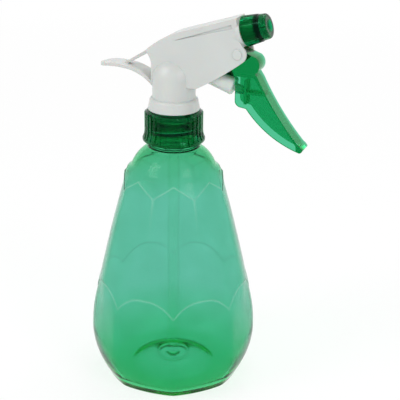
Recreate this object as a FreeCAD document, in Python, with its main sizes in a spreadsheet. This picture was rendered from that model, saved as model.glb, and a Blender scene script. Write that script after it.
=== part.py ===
import FreeCAD, Part
import math
import os

import Sketcher

# Spray bottle with a trigger sprayer.
# Millimetres. Z is the bottle's axis, Z = 0 is the surface it stands on, and the nozzle points to +X.

doc = FreeCAD.newDocument("spray_bottle")
sheet = doc.addObject("Spreadsheet::Sheet", "Sizes")

# Driving dimensions. A rise, drop or step is measured from the size or place before it.
SIZES = {
    # bottle body, from the foot up
    "wall": 0.8,
    "panels": 8,
    "belly_radius": 46.8,
    "belly_height": 26.0,
    "foot_inset": 12.7,
    "foot_round_step": 3.6,
    "foot_round_rise": 1.1,
    "bowl_ratio": 1.581,
    "petal_depth": 1.5,
    "panel_foot_inset": 3.6,
    "panel_foot_rise": 25.2,
    "petal_step": 0.6,
    "petal_tip_inset": 4.4,
    "petal_tip_rise": 9.4,
    "edge_rise": 1.0,
    "flank_bow": 0.7,
    "flank_rise": 53.6,
    "crown_radius": 26.8,
    "crown_foot_step": 2.0,
    "panel_bend_step": 1.0,
    "crown_rise": 7.4,
    "crown_soften": 0.8,
    "crown_top_inset": 1.4,
    "crown_top_rise": 2.0,
    "shoulder_inset": 3.5,
    "shoulder_rise": 1.6,
    "shoulder_lip": 0.6,
    "shoulder_lap": 2.0,
    "shoulder_arc": 19.0,
    "pushup_radius": 24.0,
    "pushup_height": 8.0,
    # bottle neck and its thread
    "neck_radius": 12.6,
    "neck_bore": 10.7,
    "neck_foot_rise": 10.6,
    "neck_rise": 16.8,
    "bead_step": 1.6,
    "bead_height": 1.7,
    "thread_depth": 1.1,
    "thread_pitch": 4.233,
    "thread_turns": 1.5,
    "thread_drop": 10.4,
    "thread_root": 2.0,
    "thread_crest": 1.0,
    "thread_gap": 0.35,
    # closure cap
    "cap_drop": 13.2,
    "cap_height": 17.2,
    "cap_flange_step": 1.7,
    "cap_flange_height": 1.8,
    "cap_wall": 1.3,
    "cap_rib_depth": 0.6,
    "cap_flare": 1.0,
    "cap_flare_height": 4.0,
    "cap_flare_arc": 12.0,
    "cap_chamfer": 1.2,
    "cap_plate": 1.5,
    "cap_ribs": 30,
    "cap_rib_angle": 5.0,
    # small details used in several parts
    "free_gap": 0.3,
    "edge_break": 0.4,
    "root_sink": 0.3,
    # gasket, riser and collar
    "gasket_thickness": 1.0,
    "gasket_radius": 13.3,
    "gasket_play": 0.2,
    "riser_radius": 11.6,
    "flange_radius": 13.4,
    "flange_thickness": 1.2,
    "collar_radius": 14.0,
    "collar_top_radius": 13.2,
    "collar_height": 4.8,
    "collar_shoulder": 1.6,
    "collar_arc": 1.9,
    "dome_rise": 12.4,
    # sprayer head, its heights from the collar, the pivot and the nozzle
    "head_width": 13.0,
    "web_front": 14.6,
    "web_rise": 8.9,
    "web_arc": 170.0,
    "slot_width": 10.6,
    "pivot_front": 37.4,
    "pivot_rise": 29.7,
    "boss_radius": 2.6,
    "boss_height": 0.5,
    "nose_radius": 4.9,
    "nose_foot_turn": 52.0,
    "nose_top_turn": 39.0,
    "face_foot_back": 1.6,
    "face_foot_drop": 3.4,
    "face_top_back": 2.9,
    "face_top_rise": 7.6,
    "brow_front": 3.3,
    "brow_drop": 3.0,
    "brow_arc": 58.0,
    "tail_rear": 13.8,
    "tail_drop": 13.8,
    "tail_lip_back": 1.2,
    "tail_lip_drop": 1.8,
    "nape_inset": 1.0,
    "nape_rise": 6.0,
    "nape_arc": 8.0,
    "side_slot_depth": 0.6,
    "side_slot_height": 2.0,
    "side_slot_rise": 4.4,
    "side_slot_rear": 38.0,
    "side_slot_front": 4.0,
    # thumb rest and the strap that holds it
    "rest_rise": 17.5,
    "rest_width": 11.0,
    "rest_thickness": 1.7,
    "rest_tip": 43.0,
    "rest_tip_drop": 0.9,
    "rest_tip_length": 7.5,
    "rest_tip_arc": 7.6,
    "rest_crest": 27.1,
    "rest_root": 9.0,
    "rest_root_drop": 8.6,
    "rest_root_flare": 1.0,
    "rest_rear_arc": 42.0,
    "rest_front_arc": 26.0,
    "strap_width": 3.0,
    "strap_thickness": 2.0,
    "strap_foot": 29.6,
    "strap_top": 12.7,
    "strap_top_drop": 13.1,
    # trigger slot in the head
    "slot_below": 9.0,
    "slot_above": 7.5,
    "slot_reach": 11.0,
    "slot_drop": 15.0,
    "slot_ramp": 10.0,
    "slot_ramp_drop": 13.0,
    "roof_front_rise": 4.6,
    "roof_middle_rise": 3.8,
    "roof_rear": 10.4,
    "roof_rear_rise": 1.6,
    # pump
    "pump_slope": 20.0,
    "pump_arm": 18.35,
    "pump_bore": 5.4,
    "pump_mouth": 12.0,
    "piston_radius": 5.0,
    "piston_front": 3.4,
    "piston_rear": 18.0,
    "piston_wall": 1.6,
    "piston_round": 0.5,
    "seal_length": 3.0,
    "seal_lip": 0.8,
    "seal_fit": 0.05,
    "seal_seat_radius": 4.2,
    "knob_radius": 2.3,
    "knob_reach": 7.4,
    "spring_stop": 4.0,
    "spring_radius": 2.55,
    "spring_wire": 0.8,
    "spring_turns": 9,
    # valves and dip tube
    "insert_radius": 7.5,
    "insert_drop": 3.6,
    "insert_flange": 10.3,
    "insert_flange_thickness": 1.6,
    "insert_socket_wall": 1.4,
    "tube_radius": 3.4,
    "tube_wall": 0.8,
    "tube_clearance": 4.0,
    "tube_rise": 7.4,
    "inlet_seat_rise": 2.0,
    "inlet_seat_bore": 1.9,
    "inlet_chamber_rise": 6.5,
    "inlet_chamber_gap": 0.6,
    "inlet_ball_radius": 2.6,
    "passage_radius": 1.6,
    "outlet_ball_radius": 1.8,
    "outlet_seat_bore": 1.3,
    "outlet_seat_place": 30.0,
    "ball_clearance": 0.05,
    # barrel and nozzle, from the pivot
    "nozzle_ahead": 1.9,
    "nozzle_rise": 11.1,
    "nozzle_tilt": 17.7,
    "barrel_bore": 2.4,
    "barrel_length": 40.0,
    "spigot_radius": 5.4,
    "spigot_length": 8.5,
    "spigot_root": 7.0,
    "seat_ring_radius": 7.4,
    "seat_ring_thickness": 1.9,
    "nozzle_base_radius": 8.05,
    "nozzle_tip_radius": 6.6,
    "nozzle_length": 13.5,
    "nozzle_front_wall": 3.7,
    "nozzle_orifice": 0.45,
    "nozzle_recess": 1.4,
    "nozzle_recess_radius": 2.0,
    "nozzle_recess_flare": 1.6,
    "nozzle_round": 1.5,
    "nozzle_ribs": 40,
    "nozzle_rib_depth": 0.3,
    "nozzle_rib_length": 8.9,
    "nozzle_rib_runout": 0.6,
    "washer_thickness": 0.8,
    "washer_bore": 1.2,
    "press_gap": 0.02,
    "spinner_rod": 1.5,
    "spinner_length": 12.0,
    "spinner_head": 2.0,
    "spinner_channel_depth": 0.6,
    "spinner_channel_width": 0.7,
    # trigger, from the pivot; its blade's outline is in shares of its length
    "trigger_length": 60.0,
    "trigger_width": 10.0,
    "trigger_wall": 1.4,
    "trunnion_radius": 1.9,
    "trunnion_fit": 0.05,
    "trunnion_end_gap": 0.3,
    "trunnion_depth": 1.1,
    "hub_wall": 0.9,
    "web_thickness": 1.2,
    "web_bite": 0.2,
    "upper_web_drop": 11.4,
    "lower_web_drop": 20.4,
    "trigger_back": 1.2,
    "trigger_lug": 7.2,
    "pusher_thickness": 1.4,
    "pusher_above": 6.5,
    "pusher_below": 6.0,
}

# How far a cutting outline runs past the face that it starts from
PAST = 1.0
# The bowl's sections, in degrees below the belly, and those above it, in shares of the way to the panels
BOWL_TURNS = (33.0, 26.0, 16.0, 0.0)
BELLY_SHARES = (0.5, 0.8)

class Size:
    """A size with its value now and the sheet expression that gives it."""

    def __init__(self, value, text):
        self.value = float(value)
        self.text = text

    @staticmethod
    def of(other):
        return other if isinstance(other, Size) else Size(other, repr(other))

    def join(self, sign, other, value):
        return Size(value, "(%s %s %s)" % (self.text, sign, other.text))

    def __add__(self, other):
        other = Size.of(other)
        return self.join("+", other, self.value + other.value)

    def __sub__(self, other):
        other = Size.of(other)
        return self.join("-", other, self.value - other.value)

    def __mul__(self, other):
        other = Size.of(other)
        return self.join("*", other, self.value * other.value)

    def __truediv__(self, other):
        other = Size.of(other)
        return self.join("/", other, self.value / other.value)

    def __radd__(self, other):
        return Size.of(other) + self

    def __rsub__(self, other):
        return Size.of(other) - self

    def __rmul__(self, other):
        return Size.of(other) * self

    def __neg__(self):
        return Size(-self.value, "(0 - %s)" % self.text)


def cosine(angle):
    return Size(math.cos(math.radians(angle.value)), "cos(%s * 1deg)" % angle.text)


def sine(angle):
    return Size(math.sin(math.radians(angle.value)), "sin(%s * 1deg)" % angle.text)


def root(square):
    return Size(math.sqrt(square.value), "sqrt(%s)" % square.text)


for row, (name, number) in enumerate(SIZES.items(), start=1):
    sheet.set("A%d" % row, name)
    sheet.set("B%d" % row, str(number))
    sheet.setAlias("B%d" % row, name)
doc.recompute()


def size(name):
    return Size(SIZES[name], "Sizes.%s" % name)


# Sketch and feature helpers

def bind(thing, path, amount):
    thing.setExpression(path, Size.of(amount).text)


def origin_part(body, role):
    for feature in body.Origin.OriginFeatures:
        if feature.Role == role:
            return feature
    raise ValueError(role)


def new_body(name):
    body = doc.addObject("PartDesign::Body", name)
    body.Label = name
    return body


def sketch_on(body, name, plane, shift=None, turn=None, lift=None, downward=False):
    """An empty sketch on an origin plane, moved by shift, lifted off it and turned in it."""
    sketch = body.newObject("Sketcher::SketchObject", name)
    sketch.AttachmentSupport = [(origin_part(body, plane), "")]
    sketch.MapMode = "FlatFace"
    if shift is not None:
        bind(sketch, "AttachmentOffset.Base.x", shift[0])
        bind(sketch, "AttachmentOffset.Base.y", shift[1])
    if lift is not None:
        bind(sketch, "AttachmentOffset.Base.z", lift)
    if turn is not None:
        pole = FreeCAD.Vector(0, 0, -1 if downward else 1)
        sketch.AttachmentOffset = FreeCAD.Placement(
            FreeCAD.Vector(), FreeCAD.Rotation(pole, turn.value)
        )
        bind(sketch, "AttachmentOffset.Rotation.Angle", turn)
    return sketch


class Arc:
    """An outline's arc to a point: a positive radius bulges to the right of the way along it."""

    def __init__(self, end, radius):
        self.end = end
        self.radius = Size.of(radius)


def arc_through(start, end, radius):
    """The counter-clockwise arc of under a half circle between two points."""
    chord = end - start
    middle = (start + end) * 0.5
    half = chord.Length / 2
    bulge = radius - math.sqrt(max(radius * radius - half * half, 0.0))
    right = FreeCAD.Vector(chord.y, -chord.x, 0).normalize()
    return Part.Arc(start, middle + right * bulge, end)


def outline(body, name, plane, steps, **where):
    """A closed sketch through points and arcs, each point bound to its two sizes."""
    sketch = sketch_on(body, name, plane, **where)
    ends = [step.end if isinstance(step, Arc) else step for step in steps]
    ends = [(Size.of(across), Size.of(up)) for across, up in ends]
    spots = [FreeCAD.Vector(across.value, up.value, 0) for across, up in ends]
    for index, step in enumerate(steps):
        start = spots[index - 1]
        end = spots[index]
        if isinstance(step, Arc) and step.radius.value < 0:
            sketch.addGeometry(arc_through(end, start, -step.radius.value), False)
        elif isinstance(step, Arc):
            sketch.addGeometry(arc_through(start, end, step.radius.value), False)
        else:
            sketch.addGeometry(Part.LineSegment(start, end), False)
    # Every arc runs counter-clockwise in its sketch, so one that bulges left has its ends swapped
    first = []
    last = []
    for index, step in enumerate(steps):
        swapped = isinstance(step, Arc) and step.radius.value < 0
        first.append(2 if swapped else 1)
        last.append(1 if swapped else 2)
    count = len(steps)
    for index in range(count):
        following = (index + 1) % count
        sketch.addConstraint(
            Sketcher.Constraint("Coincident", index, last[index], following, first[following])
        )
    for index, (across, up) in enumerate(ends):
        pin_point(sketch, index, last[index], across, up)
    for index, step in enumerate(steps):
        if isinstance(step, Arc):
            radius = Size(abs(step.radius.value), "abs(%s)" % step.radius.text)
            number = sketch.addConstraint(Sketcher.Constraint("Radius", index, radius.value))
            bind(sketch, "Constraints[%d]" % number, radius)
    return sketch


def pin_point(sketch, line, end, across, up):
    for kind, amount in (("DistanceX", across), ("DistanceY", up)):
        number = sketch.addConstraint(Sketcher.Constraint(kind, -1, 1, line, end, amount.value))
        bind(sketch, "Constraints[%d]" % number, amount)


def circle(body, name, plane, radius, across=0.0, up=0.0, **where):
    sketch = sketch_on(body, name, plane, **where)
    across = Size.of(across)
    up = Size.of(up)
    middle = FreeCAD.Vector(across.value, up.value, 0)
    sketch.addGeometry(Part.Circle(middle, FreeCAD.Vector(0, 0, 1), radius.value), False)
    pin_point(sketch, 0, 3, across, up)
    number = sketch.addConstraint(Sketcher.Constraint("Radius", 0, radius.value))
    bind(sketch, "Constraints[%d]" % number, radius)
    return sketch


def revolve(body, sketch, axis="V_Axis", angle=None):
    return turn_feature(body, "Revolution", sketch, axis, angle)


def groove(body, sketch, axis="V_Axis", angle=None):
    return turn_feature(body, "Groove", sketch, axis, angle)


def turn_feature(body, kind, sketch, axis, angle):
    feature = body.newObject("PartDesign::" + kind, sketch.Name + "_turn")
    feature.Profile = sketch
    feature.ReferenceAxis = (sketch, [axis])
    feature.Angle = 360.0
    if angle is not None:
        feature.Midplane = True
        bind(feature, "Angle", angle)
    sketch.Visibility = False
    return feature


def pad(body, sketch, length, middle=True, back=False):
    return straight_feature(body, "Pad", sketch, length, middle, back)


def pocket(body, sketch, length, middle=True, back=False):
    return straight_feature(body, "Pocket", sketch, length, middle, back)


def straight_feature(body, kind, sketch, length, middle, back):
    feature = body.newObject("PartDesign::" + kind, sketch.Name + "_" + kind.lower())
    feature.Profile = sketch
    feature.SideType = "Symmetric" if middle else "One side"
    feature.Reversed = back
    bind(feature, "Length", length)
    return feature


def helix(body, sketch, pitch, turns, axis="V_Axis"):
    feature = body.newObject("PartDesign::AdditiveHelix", sketch.Name + "_helix")
    feature.Profile = sketch
    feature.ReferenceAxis = (sketch, [axis])
    feature.Mode = "pitch-turns-angle"
    bind(feature, "Pitch", pitch)
    bind(feature, "Turns", turns)
    return feature


def around(body, feature, count, role="Z_Axis"):
    """The feature repeated evenly all the way round an origin axis."""
    pattern = body.newObject("PartDesign::PolarPattern", feature.Name + "_round")
    pattern.Originals = [feature]
    pattern.Axis = (origin_part(body, role), [""])
    pattern.Angle = 360.0
    bind(pattern, "Occurrences", count)
    body.Tip = pattern
    return pattern


def place(body, x=0.0, z=0.0, tilt=None, downward=False):
    """The body's placement: its own X axis points along +X, tilted up or downward."""
    if tilt is not None:
        pole = FreeCAD.Vector(0, 1 if downward else -1, 0)
        body.Placement = FreeCAD.Placement(
            FreeCAD.Vector(), FreeCAD.Rotation(pole, tilt.value)
        )
        bind(body, "Placement.Rotation.Angle", tilt)
    bind(body, "Placement.Base.x", x)
    bind(body, "Placement.Base.z", z)


def boolean(kind, name, base, tool):
    """A Part cut or fuse of two finished objects."""
    result = doc.addObject("Part::" + kind, name)
    result.Label = name
    result.Base = base
    result.Tool = tool
    return result



# Shared places

wall = size("wall")
gap = size("free_gap")
edge_break = size("edge_break")
root_sink = size("root_sink")
half_step = Size.of(180.0) / size("panels")

panel_foot_z = size("belly_height") + size("panel_foot_rise")
petal_tip_z = panel_foot_z + size("petal_tip_rise")
crown_foot_z = petal_tip_z + size("flank_rise")
crown_z = crown_foot_z + size("crown_rise")
crown_top_z = crown_z + size("crown_top_rise")
shoulder_z = crown_top_z + size("shoulder_rise")
neck_foot_z = shoulder_z + size("neck_foot_rise")
neck_top = neck_foot_z + size("neck_rise")
thread_z = neck_top - size("thread_drop")

cap_bottom = neck_top - size("cap_drop")
cap_top = cap_bottom + size("cap_height")
gasket_top = neck_top + size("gasket_thickness")
flange_top = gasket_top + size("flange_thickness")
collar_bottom = cap_top + gap
collar_top = collar_bottom + size("collar_height")
dome_z = collar_top + size("dome_rise")
half_head = size("head_width") / 2

pivot_x = size("pivot_front")
pivot_z = collar_top + size("pivot_rise")
slope = size("pump_slope")
pump_x = pivot_x - size("pump_arm") * sine(slope)
pump_z = pivot_z - size("pump_arm") * cosine(slope)
pump_depth = pump_x / cosine(slope)
pump_end_z = pump_z + pump_x * sine(slope) / cosine(slope)
spring_front = -size("spring_stop")
seal_back = -size("piston_rear") - size("seal_length")

nozzle_x = pivot_x + size("nozzle_ahead")
nozzle_z = pivot_z + size("nozzle_rise")
nozzle_tilt = size("nozzle_tilt")

tube_top = gasket_top + size("tube_rise")
inlet_seat_z = tube_top + size("inlet_seat_rise")
insert_top = inlet_seat_z + size("inlet_chamber_rise")


# Bottle

def ring(body, name, level, panel_radius, edge_radius):
    """A level section of the bottle: corners at the panels' middles and at the edges between them."""
    corners = []
    for index in range(2 * int(SIZES["panels"])):
        angle = half_step * index
        radius = panel_radius if index % 2 else edge_radius
        corners.append((radius * cosine(angle), radius * sine(angle)))
    return outline(body, name, "XY_Plane", corners, lift=level)


def bowl_levels(inset):
    """The sections from the foot up to the belly: level, radius at a panel, radius at an edge."""
    belly = size("belly_radius")
    belly_z = size("belly_height")
    bowl = belly_z * size("bowl_ratio")
    foot = belly - size("foot_inset")
    rounded = foot + size("foot_round_step")
    flat = cosine(half_step)
    levels = [
        (inset, foot, foot * flat),
        (inset + size("foot_round_rise"), rounded, rounded * (1 + flat) / 2),
    ]
    for turn in BOWL_TURNS:
        angle = Size.of(turn)
        radius = belly - bowl * (1 - cosine(angle))
        levels.append((belly_z - bowl * sine(angle), radius, radius - size("petal_depth")))
    return levels


def petal_levels():
    """The sections from the belly up to the tips of the lower petals."""
    belly = size("belly_radius")
    foot_inset = size("panel_foot_inset")
    tip = belly - size("petal_tip_inset")
    levels = []
    for share in BELLY_SHARES:
        radius = belly - foot_inset * share * share
        level = size("belly_height") + size("panel_foot_rise") * share
        levels.append((level, radius, radius - size("petal_depth")))
    panel_foot = belly - foot_inset
    levels.append((panel_foot_z, panel_foot, panel_foot - size("petal_step")))
    levels.append((petal_tip_z, tip - size("edge_rise"), tip))
    return levels


def crown_levels(inset):
    """The sections of the long flank and of the crown above it."""
    tip = size("belly_radius") - size("petal_tip_inset")
    crown = size("crown_radius")
    foot = crown + size("crown_foot_step")
    bend = crown + size("panel_bend_step")
    bow = size("flank_bow")
    soften = size("crown_soften")
    top = crown - size("crown_top_inset")
    middle_z = (petal_tip_z + crown_foot_z) / 2
    edge = (tip - size("edge_rise") + bend) / 2 + bow
    return [
        (middle_z, edge, (tip + foot) / 2 + bow),
        (crown_foot_z, bend, foot),
        (crown_z, crown, crown - soften),
        (crown_top_z - inset, top, top - soften / 4),
    ]


def gem_body(name, inset):
    """The bottle's outer form, drawn in by inset: the solid bottle or the space inside it."""
    body = new_body(name)
    rings = []
    levels = bowl_levels(inset) + petal_levels() + crown_levels(inset)
    for number, (level, panel, edge) in enumerate(levels):
        rings.append(ring(body, "%s_ring%d" % (name, number), level, panel - inset, edge - inset))
    loft = body.newObject("PartDesign::AdditiveLoft", name + "_sides")
    loft.Profile = rings[0]
    loft.Sections = rings[1:]
    loft.Ruled = True
    pushup = size("pushup_height")
    pushup_arc = (size("pushup_radius") * size("pushup_radius") + pushup * pushup) / (pushup * 2)
    groove(body, outline(body, name + "_pushup", "XZ_Plane", [
        (0, inset - PAST),
        (size("pushup_radius"), inset - PAST),
        (size("pushup_radius"), inset),
        Arc((0, pushup + inset), pushup_arc),
    ]))
    return body


def add_shoulder(body, inset, throat, above):
    """The domed shoulder from the crown to the throat, with the outline that continues above it."""
    top = crown_top_z - inset
    edge = size("crown_radius") - size("shoulder_inset") - inset
    lip = edge + size("shoulder_lip")
    shoulder = [
        (0, top - size("shoulder_lap")),
        (lip, top - size("shoulder_lap")),
        (lip, top),
        (edge, shoulder_z - inset),
        Arc((throat, neck_foot_z - inset * 2), size("shoulder_arc")),
    ]
    revolve(body, outline(body, body.Name + "_shoulder", "XZ_Plane", shoulder + above))


def make_bottle():
    outer = gem_body("bottle_outer", Size.of(0.0))
    neck = size("neck_radius")
    bead_top = neck_foot_z + size("bead_height")
    add_shoulder(outer, Size.of(0.0), neck + size("bead_step"), [
        (neck + size("bead_step"), bead_top),
        (neck, bead_top + size("bead_step") / 2),
        (neck, neck_top),
        (0, neck_top),
    ])
    half_root = size("thread_root") / 2
    half_crest = size("thread_crest") / 2
    crest = neck + size("thread_depth")
    sketch = outline(outer, "neck_thread", "XZ_Plane", [
        (neck - root_sink, thread_z - half_root),
        (crest, thread_z - half_crest),
        (crest, thread_z + half_crest),
        (neck - root_sink, thread_z + half_root),
    ])
    helix(outer, sketch, size("thread_pitch"), size("thread_turns"))
    inner = gem_body("bottle_inner", wall)
    bore = size("neck_bore")
    add_shoulder(inner, wall, bore, [(bore, neck_top + PAST), (0, neck_top + PAST)])
    return boolean("Cut", "bottle", outer, inner)


# Closure cap

def make_cap():
    body = new_body("closure_cap")
    plate = cap_top - size("cap_plate")
    bore = size("neck_radius") + size("thread_depth") + gap
    skirt = bore + size("cap_wall")
    flange = bore + size("cap_wall") + size("cap_flange_step")
    flange_line = cap_bottom + size("cap_flange_height")
    flare_end = flange_line + size("cap_flare_height")
    chamfer = size("cap_chamfer")
    hole = size("riser_radius") + gap
    revolve(body, outline(body, "cap_section", "XZ_Plane", [
        (bore, cap_bottom),
        (flange - edge_break, cap_bottom),
        (flange, cap_bottom + edge_break),
        (flange, flange_line - edge_break),
        (flange - edge_break, flange_line),
        (skirt + size("cap_flare"), flange_line),
        Arc((skirt, flare_end), -size("cap_flare_arc")),
        (skirt, cap_top - chamfer),
        (skirt - chamfer, cap_top),
        (hole, cap_top),
        (hole, plate),
        (bore, plate),
    ]))
    rib_radius = skirt + size("cap_rib_depth")
    rib = outline(body, "cap_rib", "XZ_Plane", [
        (skirt - edge_break, flange_line - root_sink),
        (rib_radius + size("cap_flare"), flange_line - root_sink),
        Arc((rib_radius, flare_end), -size("cap_flare_arc")),
        (rib_radius, cap_top - chamfer - edge_break),
        (skirt - edge_break, cap_top - chamfer + root_sink),
    ])
    around(body, revolve(body, rib, angle=size("cap_rib_angle")), size("cap_ribs"))
    add_cap_thread(body, bore)
    return body


def add_cap_thread(body, bore):
    """The cap's thread, half a pitch above the neck's and a little slimmer, so that it runs free."""
    middle = thread_z + size("thread_pitch") / 2
    half_root = (size("thread_root") - gap) / 2
    half_crest = (size("thread_crest") - gap / 2) / 2
    tip = size("neck_radius") + size("thread_gap")
    sketch = outline(body, "cap_thread", "XZ_Plane", [
        (bore + root_sink, middle - half_root),
        (bore + root_sink, middle + half_root),
        (tip, middle + half_crest),
        (tip, middle - half_crest),
    ])
    helix(body, sketch, size("thread_pitch"), size("thread_turns"))


def make_gasket():
    body = new_body("neck_gasket")
    inner = size("insert_flange") + size("gasket_play")
    outer = size("gasket_radius")
    revolve(body, outline(body, "gasket_section", "XZ_Plane", [
        (inner, neck_top),
        (outer, neck_top),
        (outer, gasket_top),
        (inner, gasket_top),
    ]))
    return body


# Sprayer housing

def head_outline(body):
    """The side view of the head, with its rounded nose round the pivot."""
    nose = size("nose_radius")
    foot = size("nose_foot_turn")
    top = size("nose_top_turn")
    nape = size("riser_radius") - size("nape_inset")
    head_bottom = collar_top + size("web_rise")
    tail_z = nozzle_z - size("tail_drop")
    return outline(body, "head_side", "XZ_Plane", [
        (size("web_front"), head_bottom),
        Arc((pivot_x + nose * cosine(foot), pivot_z - nose * sine(foot)), size("web_arc")),
        Arc((pivot_x + nose * cosine(top), pivot_z + nose * sine(top)), nose),
        (nozzle_x - size("face_foot_back"), nozzle_z - size("face_foot_drop")),
        (nozzle_x - size("face_top_back"), nozzle_z + size("face_top_rise")),
        (size("brow_front"), nozzle_z - size("brow_drop")),
        Arc((-size("tail_rear"), tail_z), size("brow_arc")),
        (size("tail_lip_back") - size("tail_rear"), tail_z - size("tail_lip_drop")),
        Arc((-nape, dome_z + size("nape_rise")), -size("nape_arc")),
        (-nape, head_bottom),
    ])


def make_housing():
    body = new_body("sprayer_housing")
    riser = size("riser_radius")
    revolve(body, outline(body, "riser_section", "XZ_Plane", [
        (0, gasket_top),
        (size("flange_radius"), gasket_top),
        (size("flange_radius"), flange_top),
        (riser, flange_top),
        (riser, collar_bottom),
        (size("collar_radius"), collar_bottom),
        (size("collar_top_radius"), collar_top),
        Arc((riser, collar_top + size("collar_shoulder")), size("collar_arc")),
        (riser, dome_z),
        Arc((0, dome_z + riser), riser),
    ]))
    pad(body, head_outline(body), size("head_width"))
    boss = circle(body, "pivot_boss", "XZ_Plane", size("boss_radius"), pivot_x, pivot_z)
    pad(body, boss, size("head_width") + size("boss_height") * 2)
    add_rest(body)
    add_spigot(body)
    cut_trigger_slot(body)
    cut_side_slots(body)
    cut_flow_path(body)
    return body


def add_rest(body):
    """The thumb rest, a thin curved tongue with a rounded tip, and the strap that holds it."""
    thick = size("rest_thickness")
    tip = size("rest_tip")
    crest_z = collar_top + size("rest_rise")
    tip_z = crest_z - size("rest_tip_drop")
    root_z = crest_z - size("rest_root_drop")
    root_foot_z = root_z - thick - size("rest_root_flare")
    root_x = -size("rest_root")
    crest_x = -size("rest_crest")
    pad(body, outline(body, "rest_side", "XZ_Plane", [
        (-tip, tip_z - thick),
        Arc((crest_x, crest_z - thick), -size("rest_rear_arc")),
        Arc((root_x, root_foot_z), -size("rest_front_arc")),
        (root_x, root_z),
        Arc((crest_x, crest_z), size("rest_front_arc")),
        Arc((-tip, tip_z), size("rest_rear_arc")),
    ]), size("rest_width"))
    half_width = size("rest_width") / 2
    bend = size("rest_tip_length") - tip
    pocket(body, outline(body, "rest_tip_cut", "XY_Plane", [
        (bend, -half_width - PAST),
        (bend, -half_width),
        Arc((-tip, 0), -size("rest_tip_arc")),
        Arc((bend, half_width), -size("rest_tip_arc")),
        (bend, half_width + PAST),
        (-tip - PAST, half_width + PAST),
        (-tip - PAST, -half_width - PAST),
    ]), nozzle_z * 2)
    strap = size("strap_thickness")
    foot_x = -size("strap_foot")
    strap_x = -size("strap_top")
    strap_z = nozzle_z - size("strap_top_drop")
    pad(body, outline(body, "strap_side", "XZ_Plane", [
        (foot_x + strap, tip_z),
        (strap_x + strap * sine(Size.of(33.0)), strap_z - strap * cosine(Size.of(33.0))),
        (strap_x, strap_z),
        (foot_x, tip_z + edge_break),
    ]), size("strap_width"))


def add_spigot(body):
    """The barrel's end that the nozzle screws on, with a ring that closes the nozzle's back."""
    ring_back = -gap - size("seat_ring_thickness")
    spigot = size("spigot_radius")
    length = size("spigot_length")
    root_x = -size("spigot_root")
    sketch = outline(body, "spigot_section", "XZ_Plane", [
        (root_x, 0),
        (length, 0),
        (length, spigot - edge_break),
        (length - edge_break, spigot),
        (-gap, spigot),
        (-gap, size("seat_ring_radius")),
        (ring_back, size("seat_ring_radius")),
        (root_x, half_head - edge_break),
    ], shift=(nozzle_x, nozzle_z), turn=nozzle_tilt)
    revolve(body, sketch, "H_Axis")


def cut_trigger_slot(body):
    """The slot that the trigger swings in, open below and in front, and its pivot holes."""
    mouth_x = pump_x - size("pump_mouth") * cosine(slope)
    mouth_z = pump_z + size("pump_mouth") * sine(slope)
    below = size("slot_below")
    above = size("slot_above")
    front_x = pivot_x + size("slot_reach")
    pocket(body, outline(body, "trigger_slot", "XZ_Plane", [
        (mouth_x - below * sine(slope), mouth_z - below * cosine(slope)),
        (mouth_x + size("slot_ramp"), mouth_z - size("slot_ramp_drop")),
        (front_x, pivot_z - size("slot_drop")),
        (front_x, pivot_z + size("roof_front_rise")),
        (pivot_x, pivot_z + size("roof_middle_rise")),
        (pivot_x - size("roof_rear"), pivot_z + size("roof_rear_rise")),
        (mouth_x + above * sine(slope), mouth_z + above * cosine(slope)),
    ]), size("slot_width"))
    hole = size("trunnion_radius") + size("trunnion_fit")
    socket = circle(body, "pivot_hole", "XZ_Plane", hole, pivot_x, pivot_z)
    reach = size("trigger_width") / 2 + size("trunnion_depth") + size("trunnion_end_gap")
    pocket(body, socket, reach * 2)


def cut_side_slots(body):
    """The long wedge-shaped recess on each side of the head."""
    middle = size("side_slot_rise")
    half_slot = size("side_slot_height") / 2
    front = -size("side_slot_front")
    for name, side, back in (("near_recess", half_head, False), ("far_recess", -half_head, True)):
        recess = outline(body, name, "XZ_Plane", [
            (-size("side_slot_rear"), middle),
            (front, middle - half_slot),
            (front, middle + half_slot),
        ], shift=(nozzle_x, nozzle_z), turn=nozzle_tilt, lift=side)
        pocket(body, recess, size("side_slot_depth"), middle=False, back=back)


def cut_flow_path(body):
    """Bores from below: the insert's bore, the inlet, the pump cylinder and the barrel."""
    bore = size("insert_radius")
    groove(body, outline(body, "insert_bore", "XZ_Plane", [
        (0, gasket_top - PAST),
        (bore, gasket_top - PAST),
        (bore, insert_top),
        (0, insert_top),
    ]))
    passage = size("passage_radius")
    inlet_top = pump_end_z - size("pump_bore") / 2
    groove(body, outline(body, "inlet_passage", "XZ_Plane", [
        (0, insert_top - PAST),
        (passage, insert_top - PAST),
        (passage, inlet_top),
        (0, inlet_top),
    ]))
    front = PAST - size("pump_mouth")
    cylinder = outline(body, "pump_cylinder", "XZ_Plane", [
        (-pump_depth, 0),
        (front, 0),
        (front, size("pump_bore")),
        (-pump_depth, size("pump_bore")),
    ], shift=(pump_x, pump_z), turn=slope, downward=True)
    groove(body, cylinder, "H_Axis")
    rear = -size("barrel_length")
    seat = -size("outlet_seat_place")
    barrel = outline(body, "barrel_bore", "XZ_Plane", [
        (rear, 0),
        (size("spigot_length") + PAST, 0),
        (size("spigot_length") + PAST, size("barrel_bore")),
        (seat, size("barrel_bore")),
        (seat, size("outlet_seat_bore")),
        (rear, size("outlet_seat_bore")),
    ], shift=(nozzle_x, nozzle_z), turn=nozzle_tilt)
    groove(body, barrel, "H_Axis")


# Valves and dip tube

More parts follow.
